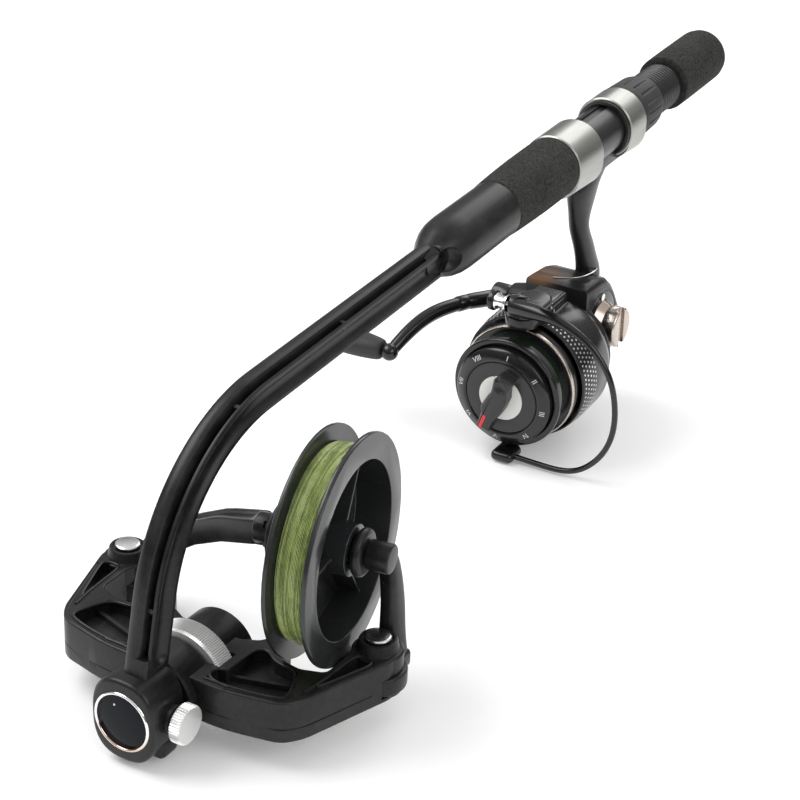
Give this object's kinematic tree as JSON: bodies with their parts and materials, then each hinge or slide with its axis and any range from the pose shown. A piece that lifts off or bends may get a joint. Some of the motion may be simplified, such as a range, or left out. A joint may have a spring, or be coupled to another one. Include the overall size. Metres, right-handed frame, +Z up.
{
  "type": "fishing line winder",
  "caption": "Rod-handle line winder: arched arm, swivelling cradle with a store spool between two hubs, and a spinning reel clamped in the reel seat.",
  "frame": {"origin": "middle of the box in plan, on its lowest point", "axes": "+X from the swivel barrel towards the butt of the handle, +Y to the left, towards the crank, +Z up from the table"},
  "size_m": [0.4467, 0.1538, 0.1495],
  "materials": {
    "arm_nylon": "moulded satin black glass-filled nylon",
    "cradle_nylon": "moulded satin black nylon",
    "knurled_aluminium": "bright, straight knurl",
    "steel": "plain turned",
    "bright_screw": "polished head with a slot",
    "cap_chrome": "polished",
    "gloss_black": "polished black",
    "eva_foam": "ground foam, dark grey with fine speckle",
    "satin_nickel": "satin",
    "seat_nylon": "smooth black",
    "carbon_tube": "plain tube",
    "store_spool": "smoky dark, glossy",
    "braid": "green braided line",
    "reel_black": "gloss black",
    "bronze_trim": "rose bronze metallic",
    "dial_white": "plain white, bare",
    "pointer_red": "red insert",
    "drag_felt": "oiled felt",
    "gear_brass": "cut",
    "gear_zinc": "cast",
    "wire_black": "black coated wire",
    "knob_rubber": "soft matte black"
  },
  "bodies": {
    "handle": {"support_arm": "arm_nylon", "end_cap_ring": "cap_chrome", "end_cap_disc": "gloss_black", "pivot_shaft": "steel", "rear_end_nut": "knurled_aluminium", "handle_tube": "carbon_tube", "foregrip": "eva_foam", "fixed_hood": "satin_nickel", "reel_seat": "seat_nylon", "butt_grip": "eva_foam", "butt_plug": "gloss_black", "reel_housing": "reel_black", "reel_side_cover": "reel_black", "cover_screws": "bright_screw", "pinion_bearing": "steel", "main_shaft": "steel", "oscillation_slider": "gear_zinc"},
    "arm_thumbscrew": {"arm_thumbscrew": "knurled_aluminium"},
    "clamp_ring": {"clamp_ring": "knurled_aluminium"},
    "cradle": {"cradle_frame": "cradle_nylon", "right_pivot_screw": "bright_screw", "left_pivot_screw": "bright_screw", "right_boss_washer": "gloss_black", "left_boss_washer": "gloss_black", "right_swing_arm": "cradle_nylon"},
    "left_swing_arm": {"left_swing_arm": "cradle_nylon"},
    "left_hub": {"left_hub_cone": "cradle_nylon"},
    "store_spool": {"line_spool": "store_spool", "line_winding": "braid", "right_hub_cone": "cradle_nylon"},
    "sliding_hood": {"sliding_hood": "satin_nickel", "hood_insert": "seat_nylon"},
    "lock_nut": {"lock_nut": "seat_nylon"},
    "crank": {"crank_shaft": "steel", "drive_gear": "gear_zinc", "crank_arm": "reel_black", "crank_collar": "reel_black", "knob_axle": "steel", "handle_screw_cap": "bronze_trim"},
    "crank_knob": {"crank_knob": "knob_rubber"},
    "rotor": {"rotor": "reel_black", "rotor_nut": "gear_brass", "pinion_gear": "gear_brass", "bail_pivot_pin": "bright_screw"},
    "bail": {"bail_arm": "reel_black", "roller_cheek": "reel_black", "roller_screw": "bright_screw", "bail_lever": "reel_black", "bail_wire": "wire_black"},
    "line_roller": {"line_roller": "cap_chrome"},
    "reel_spool": {"reel_spool": "reel_black", "spool_skirt_ring": "bronze_trim", "reel_line": "braid", "drag_washers": "drag_felt"},
    "drag_knob": {"drag_dial": "gloss_black", "drag_grip": "gloss_black", "grip_plate": "dial_white", "drag_pointer": "pointer_red"}
  },
  "joints": [
    {"name": "cradle_swivel", "type": "hinge", "parent": "handle", "child": "cradle", "pos_m": [-0.19274, -0.01385, 0.0176], "axis": [1, 0, 0], "range_deg": [-12, 90]},
    {"name": "clamp_ring_turn", "type": "hinge", "parent": "handle", "child": "clamp_ring", "pos_m": [-0.18774, -0.01385, 0.0176], "axis": [1, 0, 0], "range_deg": [-180, 180]},
    {"name": "thumbscrew_turn", "type": "hinge", "parent": "handle", "child": "arm_thumbscrew", "pos_m": [-0.21224, -0.03185, 0.0176], "axis": [0, -1, 0], "range_deg": [-180, 180]},
    {"name": "left_arm_fold", "type": "hinge", "parent": "cradle", "child": "left_swing_arm", "pos_m": [-0.15214, 0.03885, 0.0174], "axis": [0, 0, 1], "range_deg": [-18, 0]},
    {"name": "store_spool_spin", "type": "hinge", "parent": "cradle", "child": "store_spool", "pos_m": [-0.15334, -0.04885, 0.0614], "axis": [-0.1495, 0.9888, 0], "continuous": true},
    {"name": "left_hub_spin", "type": "hinge", "parent": "left_swing_arm", "child": "left_hub", "pos_m": [-0.15543, -0.03501, 0.0614], "axis": [-0.1495, 0.9888, 0], "continuous": true},
    {"name": "sliding_hood_travel", "type": "slide", "parent": "handle", "child": "sliding_hood", "axis": [0.9967, 0, 0.0812], "range_m": [0, 0.014]},
    {"name": "lock_nut_turn", "type": "hinge", "parent": "sliding_hood", "child": "lock_nut", "pos_m": [0.14006, -0.01385, 0.13067], "axis": [0.9967, 0, 0.0812], "range_deg": [-180, 180]},
    {"name": "crank_turn", "type": "hinge", "parent": "handle", "child": "crank", "pos_m": [0.10039, 0.00615, 0.04497], "axis": [0, 1, 0], "continuous": true},
    {"name": "rotor_spin", "type": "hinge", "parent": "handle", "child": "rotor", "pos_m": [0.07118, -0.01385, 0.03406], "axis": [0.9967, 0, 0.0812], "continuous": true},
    {"name": "knob_spin", "type": "hinge", "parent": "crank", "child": "crank_knob", "pos_m": [0.03594, 0.05765, 0.0355], "axis": [0, 1, 0], "continuous": true},
    {"name": "bail_open", "type": "hinge", "parent": "rotor", "child": "bail", "pos_m": [0.04831, -0.01385, 0.06229], "axis": [-0.0812, 0, 0.9967], "range_deg": [-90, 0]},
    {"name": "line_roller_spin", "type": "hinge", "parent": "bail", "child": "line_roller", "pos_m": [0.04218, -0.00685, 0.06982], "axis": [0, 1, 0], "continuous": true},
    {"name": "reel_spool_slip", "type": "hinge", "parent": "handle", "child": "reel_spool", "pos_m": [0.04327, -0.01385, 0.03178], "axis": [0.9967, 0, 0.0812], "continuous": true},
    {"name": "drag_knob_turn", "type": "hinge", "parent": "handle", "child": "drag_knob", "pos_m": [0.0343, -0.01385, 0.03105], "axis": [0.9967, 0, 0.0812], "range_deg": [-150, 150]}
  ],
  "couplings": [
    {"joint": "rotor_spin", "follows": "crank_turn", "ratio": 3},
    {"joint": "left_hub_spin", "follows": "store_spool_spin", "ratio": 1}
  ]
}
